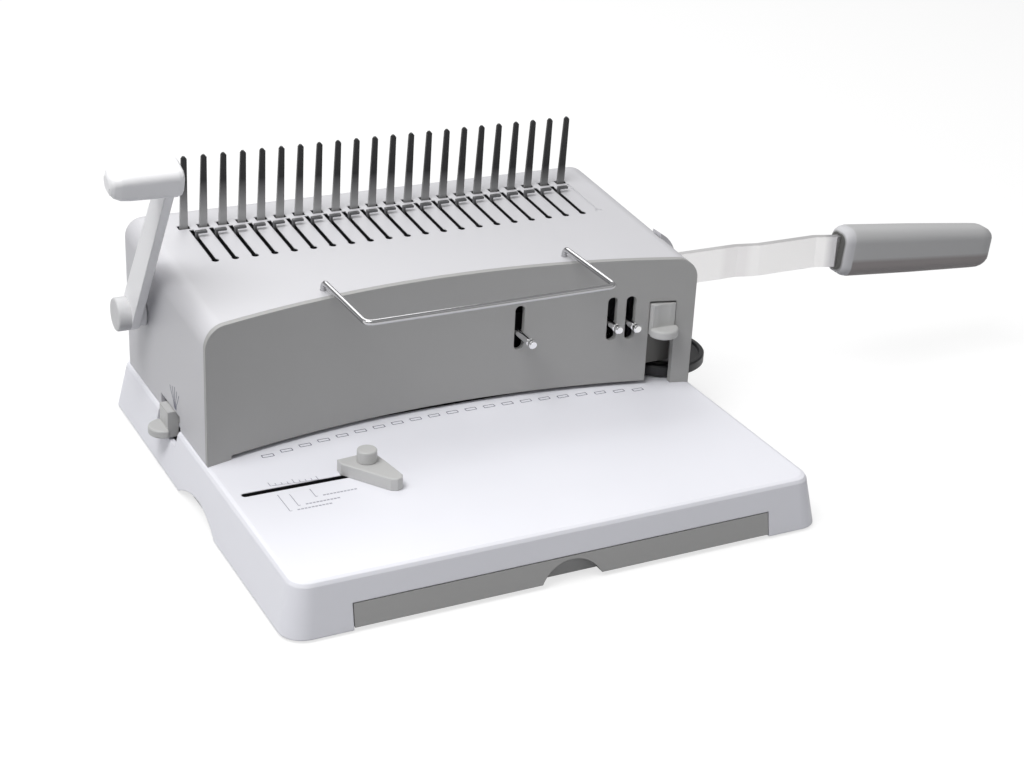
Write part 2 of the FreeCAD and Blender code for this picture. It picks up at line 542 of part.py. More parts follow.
def make_lever():
    lean = math.radians(val("lever_lean"))
    y0 = val("lever_y")
    z0 = val("lever_z")
    long = val("lever_long")
    top_y = y0 - long * math.sin(lean)
    top_z = z0 + long * math.cos(lean)
    side = "-housing_half - lever_gap - lever_thick"
    owner = body("lever_arm")
    face = sketch(owner, "lever_face", "YZ_Plane", side)
    low_r = 12.0
    high_r = 9.0
    swing = math.asin((low_r - high_r) / long)
    first = math.pi / 2 + lean - math.pi / 2 + swing
    last = math.pi + lean - swing
    low_arc = Part.ArcOfCircle(Part.Circle(V(y0, z0, 0), Z_AXIS, low_r), last, first + 2 * math.pi)
    high_arc = Part.ArcOfCircle(Part.Circle(V(top_y, top_z, 0), Z_AXIS, high_r), first, last)
    face.addGeometry(low_arc, False)
    face.addGeometry(Part.LineSegment(low_arc.EndPoint, high_arc.StartPoint), False)
    face.addGeometry(high_arc, False)
    face.addGeometry(Part.LineSegment(high_arc.EndPoint, low_arc.StartPoint), False)
    for n in range(4):
        face.addConstraint(Sketcher.Constraint("Coincident", n, 2, (n + 1) % 4, 1))
    pad = owner.newObject("PartDesign::Pad", "lever_pad")
    pad.Profile = face
    tie(pad, "Length", "lever_thick")
    grip = body("lever_grip")
    sections = []
    profile = ((-47.0, 12.0, 9.0), (-46.0, 16.0, 12.6), (-44.0, 19.4, 15.6), (-40.0, 22.0, 18.2),
               (-34.0, 23.0, 19.0), (-4.0, 24.0, 20.0), (-1.2, 22.6, 18.6), (0.0, 20.0, 16.0))
    for n, (x, deep, tall) in enumerate(profile):
        section = sketch(grip, "grip_section%d" % n, "YZ_Plane", x)
        rounded_frame(section, str(deep), str(tall), "5")
        sections.append(section)
    lofted(grip, "grip_loft", sections)
    grip.Placement = FreeCAD.Placement(V(-val("housing_half") - 1.5, top_y, top_z),
                                       FreeCAD.Rotation(X_AXIS, math.degrees(lean) * 0.5))
    boss = rod("lever_boss", ("-housing_half - lever_gap", "lever_y", "lever_z"), X_AXIS, "10",
               "lever_gap - 0.6")
    whole = fuse("lever_whole", [owner, grip, boss])
    hole = rod("lever_bore", ("-housing_half - 40", "lever_y", "lever_z"), X_AXIS, "shaft_radius", "60")
    part(cut("lever_cut", whole, [hole]), "comb_lever")
    part(rounded("cap_round", rod("cap_disc", (side + " - 9", "lever_y", "lever_z"), X_AXIS, "12", "9"), 1.5,
                 lambda e: e.BoundBox.XMax < -val("housing_half") - 15), "lever_cap")
    part(rod("shaft_rod", (side, "lever_y", "lever_z"), X_AXIS, "shaft_radius",
             "lever_gap + lever_thick + skin + 16"), "lever_shaft")
    pin_y = "lever_y + crank_radius * sin(crank_back * 1deg)"
    pin_z = "lever_z + crank_radius * cos(crank_back * 1deg)"
    start = "-housing_half + skin + 8.5"
    eye = rod("crank_eye", (start, "lever_y", "lever_z"), X_AXIS, "10", "5")
    knuckle = rod("crank_knuckle", (start, pin_y, pin_z), X_AXIS, "5.5", "5")
    arm = box("crank_arm", ("0", "-4.5", "0"), ("5", "9", "crank_radius"))
    for axis in "xyz":
        arm.setExpression("Placement.Base." + axis, None)
    arm.Placement = FreeCAD.Placement(V(val_of(start), y0, z0), FreeCAD.Rotation(X_AXIS, -val("crank_back")))
    arm.Placement = arm.Placement.multiply(FreeCAD.Placement(V(0, -4.5, 0), FreeCAD.Rotation()))
    pin = rod("crank_finger", (start, pin_y, pin_z), X_AXIS, "crank_pin", "13")
    bore = rod("crank_bore", (start + " - 1", "lever_y", "lever_z"), X_AXIS, "shaft_radius", "7")
    part(cut("crank_cut", fuse("crank_whole", [eye, knuckle, arm, pin]), [bore]), "lever_crank")
    plate = box("bracket_plate", ("-housing_half + skin + 2.5", "lever_y - 18", "base_top"),
                ("4", "36", "lever_z - base_top + 16"))
    foot = box("bracket_foot", ("-housing_half + skin + 2.5", "lever_y - 18", "base_top"), ("20", "36", "3"))
    journal = rod("bracket_bore", ("-housing_half", "lever_y", "lever_z"), X_AXIS,
                  "shaft_radius + run_clear", "20")
    part(cut("bracket_cut", fuse("bracket_whole", [plate, foot]), [journal]), "lever_bracket")


def make_wire():
    x = val("wire_x")
    y = val("wire_y")
    low = val("top_front") - 16
    level = val("top_front") + val("wire_rise")
    reach = y - val("wire_reach")
    bend = 5.0
    turn = bend * (1 - math.sqrt(0.5))

    def leg(side):
        points = [V(side * x, y, low), V(side * x, y, level - bend), V(side * x, y - turn, level - turn),
                  V(side * x, y - bend, level), V(side * x, reach + bend, level),
                  V(side * (x - turn), reach + turn, level), V(side * (x - bend), reach, level)]
        return [Part.LineSegment(points[0], points[1]).toShape(), Part.Arc(*points[1:4]).toShape(),
                Part.LineSegment(points[3], points[4]).toShape(), Part.Arc(*points[4:7]).toShape()], points[6]

    left, left_end = leg(-1)
    right, right_end = leg(1)
    bar = Part.LineSegment(left_end, right_end).toShape()
    spine = doc.addObject("Part::Feature", "wire_spine")
    spine.Shape = Part.Wire(Part.__sortEdges__(left + [bar] + right))
    ring = doc.addObject("Part::Circle", "wire_ring")
    tie(ring, "Radius", "wire_radius")
    ring.Placement = FreeCAD.Placement(V(-x, y, low), FreeCAD.Rotation())
    sweep = doc.addObject("Part::Sweep", "wire_sweep")
    sweep.Sections = [ring]
    sweep.Spine = (spine, ["Edge%d" % (n + 1) for n in range(len(spine.Shape.Edges))])
    sweep.Solid = True
    sweep.Frenet = False
    part(sweep, "wire_support")


# Punch
DIE_SCREWS = [(n * 5 * val("comb_pitch"), val("die_row") + 14) for n in (-1, 0, 1)]


def make_dies():
    holes = []
    for n in range(RINGS):
        place = "(%d) * comb_pitch" % (n - RINGS // 2)
        holes.append(box("die_hole%d" % n,
                         (place + " - punch_wide / 2 - run_clear",
                          "die_row - punch_deep / 2 - run_clear", "20"),
                         ("punch_wide + 2 * run_clear", "punch_deep + 2 * run_clear", "60")))
    for n, (x, y) in enumerate(DIE_SCREWS):
        holes.append(rod("die_screw_hole%d" % n, (x, y, "20"), Z_AXIS, "screw_radius", "60"))
    lower = box("die_lower", ("-die_half", "16", "base_top - die_thick"), ("2 * die_half", "32", "die_thick"))
    part(cut("die_lower_cut", lower, holes), "lower_die")
    upper = box("die_upper", ("-die_half", "18.5", "base_top + throat_gap"),
                ("2 * die_half", "29.5", "die_thick"))
    part(cut("die_upper_cut", upper, holes), "punch_guide_plate")
    stop = box("stop_strip", ("-die_half", "die_row + 4.5", "base_top"),
               ("2 * die_half", "48 - die_row - 4.5", "throat_gap"))
    part(cut("stop_cut", stop, holes), "paper_stop")
    screws = []
    for n, (x, y) in enumerate(DIE_SCREWS):
        head = rod("die_head%d" % n, (x, y, "base_top + throat_gap + die_thick"), Z_AXIS, "3.5", "3")
        shank = rod("die_shank%d" % n, (x, y, "base_top - die_thick"), Z_AXIS, "screw_radius",
                    "2 * die_thick + throat_gap + 1")
        screws.append(fuse("die_screw%d" % n, [head, shank]))
    part(group("die_screw_group", screws), "die_screws")
    posts = []
    for n, side in enumerate((-1, 1)):
        posts.append(rod("guide_post%d" % n,
                         ("%d * post_x" % side, "post_y", "base_top + throat_gap + die_thick"), Z_AXIS,
                         "post_radius", "70"))
    part(group("post_group", posts), "guide_posts")


def make_beam():
    block = box("beam_block", ("-die_half + 0.8", "beam_front", "beam_low"),
                ("2 * die_half - 1.6", "beam_deep", "beam_tall"))
    holes = []
    for n, side in enumerate((-1, 1)):
        holes.append(rod("beam_bore%d" % n, ("%d * post_x" % side, "post_y", "0"), Z_AXIS,
                         "post_radius + run_clear", "200"))
    for n, name in enumerate(("pin_one", "pin_two", "pin_three")):
        holes.append(rod("pin_bore%d" % n, (name, "beam_front - 5", "pin_z"), Y_AXIS,
                         "pin_radius + run_clear", "24"))
    part(cut("beam_cut", block, holes), "punch_beam")
    punches = []
    for n in range(RINGS):
        place = "(%d) * comb_pitch" % (n - RINGS // 2)
        punches.append(box("punch%d" % n,
                           (place + " - punch_wide / 2", "die_row - punch_deep / 2", "punch_low"),
                           ("punch_wide", "punch_deep", "beam_low - punch_low")))
    part(group("punch_group", punches), "punches")
    rollers = []
    for n, side in enumerate((-1, 1)):
        rollers.append(rod("roller%d" % n, ("%d * roller_x" % side, "beam_front + beam_deep", "roller_z"),
                           Y_AXIS, "roller_radius", "cam_front + cam_thick + 1 - beam_front - beam_deep"))
    part(group("roller_group", rollers), "beam_rollers")


def make_pins():
    for n, name in enumerate(("pin_one", "pin_two", "pin_three"), 1):
        owner = body("pin_body%d" % n)
        profile = sketch(owner, "pin_profile%d" % n, "XY_Plane")
        out = 23.0 if n == 1 else 12.5
        x = val(name)
        end = front_y(x) - out
        inner = val("beam_front") + 18.0 - (val("pin_pull") if n == 1 else 0.0)
        r = val("pin_radius")
        outline(profile, [(0, end), (r - 0.6, end), (r + 0.3, end + 1.0), (r + 0.3, end + 3.4),
                          (r - 0.7, end + 3.9), (r - 0.7, end + 5.2), (r, end + 5.8), (r, inner), (0, inner)])
        turn = owner.newObject("PartDesign::Revolution", "pin_turn%d" % n)
        turn.Profile = profile
        turn.ReferenceAxis = (profile, ["V_Axis"])
        turn.Angle = 360
        tie(owner, "Placement.Base.x", name)
        tie(owner, "Placement.Base.z", "pin_z")
        part(owner, "release_pin_%d" % n)


def make_cam():
    lift = val("punch_stroke")
    travel = val("cam_travel")
    long = math.hypot(lift, travel)
    pin_x = "hub_x - hub_crank * sin(hub_lag * 1deg)"
    bar = box("cam_strip", ("-roller_x - 24", "cam_front", "79"),
              ("roller_x + 24 + row_half - 2.875", "cam_thick", "26"))
    tail = box("cam_tail", ("row_half - 12.875", "cam_front", "84"),
               (pin_x + " + 6 - row_half + 12.875", "cam_thick", "20"))
    tools = [box("cam_yoke", (pin_x + " - 3.3", "cam_front - 2", "93"), ("6.6", "cam_thick + 4", "20"))]
    for n, side in enumerate((-1, 1)):
        wide = 2 * (val("roller_radius") + val("cam_clear"))
        lane = box("cam_lane%d" % n, ("0", "0", "0"), (long + 1.0, "cam_thick + 4", wide))
        for axis in "xyz":
            lane.setExpression("Placement.Base." + axis, None)
        turn = FreeCAD.Rotation(Y_AXIS, math.degrees(math.atan2(-lift, -travel)))
        start = V(side * val("roller_x"), val("cam_front") - 2, val("roller_z"))
        lane.Placement = FreeCAD.Placement(start, turn).multiply(
            FreeCAD.Placement(V(-0.5, 0, -wide / 2), FreeCAD.Rotation()))
        tools.append(lane)
        for end, (dx, dz) in (("a", (0.0, 0.0)), ("b", (-travel, lift))):
            tools.append(rod("cam_end%d%s" % (n, end),
                             ("%d * roller_x + (%g)" % (side, dx), "cam_front - 2", "roller_z + %g" % dz),
                             Y_AXIS, wide / 2 + 0.3, "cam_thick + 4"))
    for n, x in enumerate((-45, 45)):
        tools.append(box("stud_lane%d" % n, (x - travel - 3.3, "cam_front - 2", 92 - 3.1),
                         (travel + 6.6, "cam_thick + 4", 6.2)))
    part(cut("cam_cut", fuse("cam_whole", [bar, tail]), tools), "cam_bar")
    plate = box("frame_plate", ("-row_half - 7.125", "cam_front + cam_thick + 2", "base_top"),
                ("row_half + 7.125 + notch_left", "3", "81"))
    foot = box("frame_foot", ("-row_half - 7.125", "cam_front + cam_thick + 2", "base_top"),
               ("2 * row_half + 12.25", "18", "3"))
    studs = [plate, foot]
    for n, x in enumerate((-45, 45)):
        studs.append(rod("frame_stud%d" % n, (x, "cam_front - 0.9", 92), Y_AXIS, "3", "cam_thick + 3.9"))
        studs.append(rod("frame_collar%d" % n, (x, "cam_front + cam_thick + 0.4", 92), Y_AXIS, "5", "2"))
    part(fuse("frame_whole", studs), "punch_frame")


def make_handle():
    base = box("hub_floor", ("notch_left", "25", "50"), ("housing_half - skin - 0.5 - notch_left", "32", "3"))
    front = box("hub_front_wall", ("notch_left", "25", "50"),
                ("housing_half - skin - 0.5 - notch_left", "3", "78"))
    back = box("hub_back_wall", ("notch_left", "54", "50"),
               ("housing_half - skin - 0.5 - notch_left", "3", "78"))
    bore = rod("hub_wall_bore", ("hub_x", "20", "hub_z"), Y_AXIS, "pivot_radius", "50")
    part(cut("hub_bracket_cut", fuse("hub_bracket_whole", [base, front, back]), [bore]), "handle_bracket")
    pin = rod("pivot_shank", ("hub_x", "23.4", "hub_z"), Y_AXIS, "pivot_radius", "35.2")
    head = rod("pivot_head", ("hub_x", "23.4", "hub_z"), Y_AXIS, "7", "1.6")
    clip = rod("pivot_clip", ("hub_x", "57", "hub_z"), Y_AXIS, "7", "1.6")
    part(fuse("pivot_whole", [pin, head, clip]), "handle_pivot")
    disc = rod("hub_disc", ("hub_x", "hub_front", "hub_z"), Y_AXIS, "hub_radius", "hub_deep")
    finger = rod("hub_finger", ("hub_x - hub_crank * sin(hub_lag * 1deg)", "hub_front",
                                "hub_z - hub_crank * cos(hub_lag * 1deg)"), Y_AXIS, "3", "hub_deep + 6")
    hole = rod("hub_bore", ("hub_x", "0", "hub_z"), Y_AXIS, "pivot_radius + run_clear", "90")
    part(cut("hub_cut", fuse("hub_whole", [disc, finger]), [hole]), "handle_hub")
    owner = body("bar_body")
    plan = sketch(owner, "bar_plan", "XY_Plane", "bar_low")
    y1 = val("hub_front")
    deep = val("bar_thick")
    start = val("hub_x")
    end = val("grip_start") + 40
    grip_x = val("grip_start")
    back_line = [(start, y1), (grip_x - 88, y1), (grip_x - 70, y1 - 4), (grip_x - 18, y1 - 4),
                 (grip_x - 2, y1 - 9), (end, y1 - 9)]
    outline(plan, back_line + [(x, y - deep) for x, y in reversed(back_line)])
    pad = owner.newObject("PartDesign::Pad", "bar_pad")
    pad.Profile = plan
    tie(pad, "Length", "bar_tall")
    root = rod("bar_root", ("hub_x", "hub_front - bar_thick", "hub_z"), Y_AXIS, "hub_radius - 1.5",
               "bar_thick")
    part(cut("bar_cut", fuse("bar_whole", [owner, root]), [hole]), "handle_bar")
    grip = body("grip_body")
    sections = []
    tall = val("grip_tall")
    wide = val("grip_deep")
    long = val("grip_long")
    profile = [(0.0, 9.0), (0.8, 6.0), (2.4, 3.2), (5.0, 1.2), (9.0, 0.0), (70.0, 1.0), (long - 20, 3.0)]
    for step in range(1, 7):
        swing = math.radians(15 * step)
        profile.append((long - 16 + 16 * math.sin(swing), 3.0 + 14 * (1 - math.cos(swing))))
    for n, (x, shrink) in enumerate(profile):
        high = tall - 1.3 * shrink
        broad = wide - shrink
        section = sketch(grip, "handle_section%d" % n, "YZ_Plane", x)
        rounded_frame(section, str(broad), str(high), "%g" % (0.36 * broad))
        sections.append(section)
    lofted(grip, "handle_loft", sections)
    middle = val("bar_low") + val("bar_tall") / 2
    grip.Placement = FreeCAD.Placement(V(val("grip_start"), y1 - 9 - deep / 2, middle),
                                       FreeCAD.Rotation(Y_AXIS, val("grip_droop")))
    part(cut("grip_cut", grip, [owner]), "handle_grip")


# Small controls
def make_size_slider():
    x = "notch_left + notch_wide / 2"
    face = front_y(val_of(x))
    flange = box("size_flange", ("notch_left - 4", "1.5", "80"), ("notch_wide + 8.1", "1.8", "21"))
    stem = box("size_stem", ("notch_left + 0.6", face - 3.0, "77.4"),
               ("notch_wide - 1.2", "1.6 - (%g)" % (face - 3.0), "24"))
    lip = rod("size_lip", (x, face - 3.0, "77.4"), Z_AXIS, "notch_wide / 2 + 1.4", "6.6")
    front = box("size_lip_front", (x + " - 20", face - 40, "70"), ("40", "37", "20"))
    tab = rounded("size_tab", common("size_lip_half", lip, front), 1.6,
                  lambda e: e.BoundBox.YMax - e.BoundBox.YMin > 5)
    hollow = rod("size_hollow", (x, face - 26.4, "84.4"), Z_AXIS, "24", "30")
    whole = fuse("size_whole", [cut("size_face", stem, [hollow]), flange, tab])
    part(whole, "size_slider")


def make_side_slider():
    wall = -val("housing_half")
    y = "side_notch_mid"
    flange = box("side_flange", ("-housing_half + skin + 0.3", y + " - 15", "base_top + 0.3"),
                 ("1.8", "30", "13"))
    stem = box("side_stem", (wall - 5.0, y + " - 9", "base_top - 10"), ("5 + skin - 0.3", "18", "19"))
    bridge = box("side_bridge", (wall, y + " - 9", "base_top + 0.6"), ("skin + 1", "18", "8.4"))
    lip = rod("side_lip", (wall - 5.0, y, "base_top - 10"), Z_AXIS, "11", "6")
    front = box("side_lip_front", (wall - 45.0, y + " - 20", "base_top - 20"), ("40", "40", "40"))
    tab = rounded("side_tab", common("side_lip_half", lip, front), 1.4,
                  lambda e: e.BoundBox.XMax - e.BoundBox.XMin > 5)
    part(fuse("side_whole", [stem, bridge, flange, tab]), "margin_slider")


def make_dial():
    owner = body("dial_body")
    profile = sketch(owner, "dial_profile", "XZ_Plane")
    r = val("dial_radius")
    thick = val("dial_thick")
    hole = val("spindle_radius") + val("run_clear")
    outline(profile, [(hole, 0), (8, 0), (8, 1), (r - 5, 1), (r - 5, 0), (r - 1, 0), (r, 1), (r, thick - 1),
                      (r - 1, thick), (r - 3.6, thick), (r - 4.4, thick - 2.2), (r - 10, thick - 2.2),
                      (r - 10.6, thick - 1), (r - 13, thick - 1), (r - 13.8, thick - 3.4), (9, thick - 3.4),
                      (8, thick - 2.6), (hole, thick - 2.6)])
    turn = owner.newObject("PartDesign::Revolution", "dial_turn")
    turn.Profile = profile
    turn.ReferenceAxis = (profile, ["V_Axis"])
    turn.Angle = 360
    for axis, text in zip("xyz", ("dial_x", "dial_y", "dial_low")):
        tie(owner, "Placement.Base." + axis, text)
    part(owner, "depth_dial")
    shank = rod("spindle_shank", ("dial_x", "dial_y", "base_top - base_wall"), Z_AXIS, "spindle_radius",
                "dial_low + dial_thick - 1 - base_top + base_wall")
    head = rod("spindle_head", ("dial_x", "dial_y", "dial_low + dial_thick - 2.4"), Z_AXIS, "5", "1.8")
    part(fuse("spindle_whole", [shank, head]), "dial_spindle")


def make_guide():
    top = val("base_top") + 0.2
    high = top + val("guide_tall")
    y = val("guide_y")
    owner = body("guide_body")
    plan = sketch(owner, "guide_plan", "XY_Plane", "base_top + 0.2")
    wide = val("guide_wide")
    x = val("guide_x")
    corners = ((-0.60, 9.0), (0.30, 11.5), (0.40, -4.0), (0.50, -26.0), (0.44, -30.0), (0.30, -31.5),
               (0.16, -29.5), (-0.60, 2.5))
    outline(plan, [(x + share * wide, y + dy) for share, dy in corners])
    pad = owner.newObject("PartDesign::Pad", "guide_pad")
    pad.Profile = plan
    tie(pad, "Length", "guide_tall")
    soft = rounded("guide_soft", owner, 1.0, lambda e: e.BoundBox.ZMin > top + 1)
    shank = box("guide_shank",
                ("guide_x - 6", "guide_y - guide_slot / 2 + 0.2", "base_top - base_wall - 0.2"),
                ("12", "guide_slot - 0.4", "base_wall + 0.8"))
    hole = rod("guide_bore", ("guide_x", "guide_y", "20"), Z_AXIS, "screw_radius + run_clear", "40")
    part(cut("guide_cut", fuse("guide_whole", [soft, shank]), [hole]), "paper_guide")
    clamp = box("clamp_plate", ("guide_x - 8", "guide_y - 8", "base_top - base_wall - 3.2"),
                ("16", "16", "3"))
    part(cut("clamp_cut", clamp, [hole]), "guide_clamp")
    knob = rounded("knob_round",
                   rod("knob_disc", ("guide_x", "guide_y", high + 0.2), Z_AXIS, "knob_radius", "knob_tall"),
                   1.2, lambda e: e.BoundBox.ZMin > high + 4 and e.Length > 20)
    stem = rod("knob_stem", ("guide_x", "guide_y", "base_top - base_wall - 3.2"), Z_AXIS, "screw_radius",
               "%g - base_top + base_wall + 3.4" % high)
    part(fuse("knob_whole", [knob, stem]), "guide_knob")


make_base()
make_bottom()
make_drawer()
make_housing()
make_tines()
make_carriage()
make_lever()
make_wire()
make_dies()
make_beam()
make_pins()
make_cam()
make_handle()
make_size_slider()
make_side_slider()
make_dial()
make_guide()
doc.recompute()

for obj in doc.Objects:
    if "Invalid" in obj.State or "Error" in obj.State:
        raise RuntimeError("not built: " + obj.Name + " " + str(obj.State))
for obj in parts:
    shape = obj.Shape
    if shape.isNull() or not shape.isValid() or not shape.Solids:
        raise RuntimeError("bad shape: " + obj.Label)
    print(obj.Label, len(shape.Solids), round(shape.Volume), [round(n, 1) for n in (
        shape.BoundBox.XMin, shape.BoundBox.XMax, shape.BoundBox.YMin, shape.BoundBox.YMax,
        shape.BoundBox.ZMin, shape.BoundBox.ZMax)])
    shape.exportStep("parts/" + obj.Label + ".step")
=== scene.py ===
import json
import math
import bpy
import numpy as np
from mathutils import Matrix, Vector


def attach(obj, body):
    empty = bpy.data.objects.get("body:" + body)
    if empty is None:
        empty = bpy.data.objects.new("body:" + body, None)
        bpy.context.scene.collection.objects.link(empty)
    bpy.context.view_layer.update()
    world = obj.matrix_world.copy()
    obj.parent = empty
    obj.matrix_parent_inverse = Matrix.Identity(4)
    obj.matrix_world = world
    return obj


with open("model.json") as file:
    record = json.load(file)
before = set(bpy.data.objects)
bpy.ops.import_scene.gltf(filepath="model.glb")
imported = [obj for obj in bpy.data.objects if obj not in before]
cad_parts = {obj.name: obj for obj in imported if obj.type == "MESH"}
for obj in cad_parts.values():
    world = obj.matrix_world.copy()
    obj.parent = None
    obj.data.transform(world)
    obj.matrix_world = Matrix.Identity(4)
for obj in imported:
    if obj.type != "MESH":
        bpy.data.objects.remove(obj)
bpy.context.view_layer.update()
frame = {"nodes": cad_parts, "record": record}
scene = bpy.context.scene

# Sizes of the machine that the printing follows, in millimetres
MM = 0.001
PITCH = 14.2875
HOLES = 21
ARC_RADIUS = 675.6
ARC_MID = 13.0
BASE_TOP = 37.0
LEFT_WALL = 185.0
INK_THICK = 0.08
FINE_LINE = 0.5

# Shared effects: the grain's noises, and how far its slow one moves the tone and the roughness
FINE_DETAIL = 3
WIDE_DETAIL = 2
WIDE_SCALE = 9
GRAIN_DEPTH = 0.0002
DARKEST = 0.96
LIGHTEST = 1.03
TONE_SPAN = (0.3, 0.7)
ROUGH_SPAN = (0.9, 1.1)
EDGE_SAMPLES = 4
# Painted shade: the near-black colour laid on the walls of deep slots
SLOT_PAINTED_SHADE = (0.014, 0.014, 0.016)


def grain_group():
    """Fine moulded grain: a small noise gives the bump height, a wide one the slow change of tone."""
    tree = bpy.data.node_groups.new("moulded_grain", "ShaderNodeTree")
    tree.interface.new_socket("Vector", in_out="INPUT", socket_type="NodeSocketVector")
    tree.interface.new_socket("Scale", in_out="INPUT", socket_type="NodeSocketFloat")
    tree.interface.new_socket("Height", in_out="OUTPUT", socket_type="NodeSocketFloat")
    tree.interface.new_socket("Tone", in_out="OUTPUT", socket_type="NodeSocketFloat")
    source = tree.nodes.new("NodeGroupInput")
    target = tree.nodes.new("NodeGroupOutput")
    fine = tree.nodes.new("ShaderNodeTexNoise")
    fine.inputs["Detail"].default_value = FINE_DETAIL
    wide = tree.nodes.new("ShaderNodeTexNoise")
    wide.inputs["Scale"].default_value = WIDE_SCALE
    wide.inputs["Detail"].default_value = WIDE_DETAIL
    for noise in (fine, wide):
        tree.links.new(source.outputs["Vector"], noise.inputs["Vector"])
    tree.links.new(source.outputs["Scale"], fine.inputs["Scale"])
    tree.links.new(fine.outputs["Fac"], target.inputs["Height"])
    tree.links.new(wide.outputs["Fac"], target.inputs["Tone"])
    return tree


def recess_shade_group():
    """1 below a tilted plane inside a box in plan, else 0. It marks where painted shade darkens the walls of
    deep slots.
    """
    tree = bpy.data.node_groups.new("recess_shade_mask", "ShaderNodeTree")
    tree.interface.new_socket("Vector", in_out="INPUT", socket_type="NodeSocketVector")
    for name in ("Slope", "Level", "Half X", "Mid X", "Mid Y", "Half Y"):
        tree.interface.new_socket(name, in_out="INPUT", socket_type="NodeSocketFloat")
    tree.interface.new_socket("Mask", in_out="OUTPUT", socket_type="NodeSocketFloat")
    source = tree.nodes.new("NodeGroupInput")
    target = tree.nodes.new("NodeGroupOutput")
    split = tree.nodes.new("ShaderNodeSeparateXYZ")
    tree.links.new(source.outputs["Vector"], split.inputs["Vector"])
    given = source.outputs

    def worked(kind, first, second=None):
        """Result of one sum on one or two sockets."""
        step = tree.nodes.new("ShaderNodeMath")
        step.operation = kind
        tree.links.new(first, step.inputs[0])
        if second is not None:
            tree.links.new(second, step.inputs[1])
        return step.outputs["Value"]

    plane = worked("ADD", worked("MULTIPLY", split.outputs["Y"], given["Slope"]), given["Level"])
    below = worked("LESS_THAN", split.outputs["Z"], plane)
    off_x = worked("ABSOLUTE", worked("SUBTRACT", split.outputs["X"], given["Mid X"]))
    off_y = worked("ABSOLUTE", worked("SUBTRACT", split.outputs["Y"], given["Mid Y"]))
    in_x = worked("LESS_THAN", off_x, given["Half X"])
    in_y = worked("LESS_THAN", off_y, given["Half Y"])
    mask = worked("MULTIPLY", below, worked("MULTIPLY", in_x, in_y))
    tree.links.new(mask, target.inputs["Mask"])
    return tree


GRAIN = grain_group()
RECESS_SHADE = recess_shade_group()


# Materials
def mixed(tree, factor, first, second):
    """First colour where factor is 0 and second where it is 1. Each is a colour or a socket."""
    node = tree.nodes.new("ShaderNodeMix")
    node.data_type = "RGBA"
    tree.links.new(factor, node.inputs["Factor"])
    for name, colour in (("A", first), ("B", second)):
        if isinstance(colour, tuple):
            node.inputs[name].default_value = (*colour, 1)
        else:
            tree.links.new(colour, node.inputs[name])
    return node.outputs["Result"]


def spread(tree, value, from_low, from_high, to_low=0.0, to_high=1.0):
    """Value carried from one range to another, held at the ends."""
    node = tree.nodes.new("ShaderNodeMapRange")
    node.inputs["From Min"].default_value = from_low
    node.inputs["From Max"].default_value = from_high
    node.inputs["To Min"].default_value = to_low
    node.inputs["To Max"].default_value = to_high
    tree.links.new(value, node.inputs["Value"])
    return node.outputs["Result"]


def material(name, colour, rough, metal=0.0, scale=1500.0, bump=0.04, edge=0.0006,
             ramp=None, bands=(), tilt=0.0, recess=None):
    """Moulded or rolled surface. ramp = (low, high, colour at low) blends two colours up Z. Each of bands,
    (low, high, blur, colour), tints a stretch along X. Both are turned by tilt degrees about Y. recess holds
    the recess mask's sizes in metres; inside it the walls get a painted shade, near black."""
    made = bpy.data.materials.new(name)
    made.use_nodes = True
    tree = made.node_tree
    nodes = tree.nodes
    surface = nodes["Principled BSDF"]
    place = nodes.new("ShaderNodeTexCoord").outputs["Object"]
    grain = nodes.new("ShaderNodeGroup")
    grain.node_tree = GRAIN
    grain.inputs["Scale"].default_value = scale
    tree.links.new(place, grain.inputs["Vector"])
    tone = grain.outputs["Tone"]
    darker = tuple(c * DARKEST for c in colour)
    lighter = tuple(min(1.0, c * LIGHTEST) for c in colour)
    shown = mixed(tree, tone, darker, lighter)
    lean = nodes.new("ShaderNodeMapping")
    lean.inputs["Rotation"].default_value = (0, math.radians(tilt), 0)
    tree.links.new(place, lean.inputs["Vector"])
    split = nodes.new("ShaderNodeSeparateXYZ")
    tree.links.new(lean.outputs["Vector"], split.inputs["Vector"])
    if ramp:
        low, high, colour_low = ramp
        shown = mixed(tree, spread(tree, split.outputs["Z"], low, high), colour_low, shown)
    for low, high, blur, tint in bands:
        inside = nodes.new("ShaderNodeMath")
        inside.operation = "SUBTRACT"
        for n, end in enumerate((low, high)):
            past = spread(tree, split.outputs["X"], end - blur, end + blur)
            tree.links.new(past, inside.inputs[n])
        shown = mixed(tree, inside.outputs["Value"], shown, tint)
    if recess:
        mask = nodes.new("ShaderNodeGroup")
        mask.node_tree = RECESS_SHADE
        for socket, size in recess.items():
            mask.inputs[socket].default_value = size
        tree.links.new(place, mask.inputs["Vector"])
        # Painted shade: walls inside the recess mask turn near black
        shown = mixed(tree, mask.outputs["Mask"], shown, SLOT_PAINTED_SHADE)
    tree.links.new(shown, surface.inputs["Base Color"])
    smooth, coarse = (rough * share for share in ROUGH_SPAN)
    tree.links.new(spread(tree, tone, *TONE_SPAN, smooth, coarse), surface.inputs["Roughness"])
    surface.inputs["Metallic"].default_value = metal
    soft = nodes.new("ShaderNodeBevel")
    soft.samples = EDGE_SAMPLES
    soft.inputs["Radius"].default_value = edge
    relief = nodes.new("ShaderNodeBump")
    relief.inputs["Strength"].default_value = bump
    relief.inputs["Distance"].default_value = GRAIN_DEPTH
    tree.links.new(grain.outputs["Height"], relief.inputs["Height"])
    tree.links.new(soft.outputs["Normal"], relief.inputs["Normal"])
    tree.links.new(relief.outputs["Normal"], surface.inputs["Normal"])
    return made
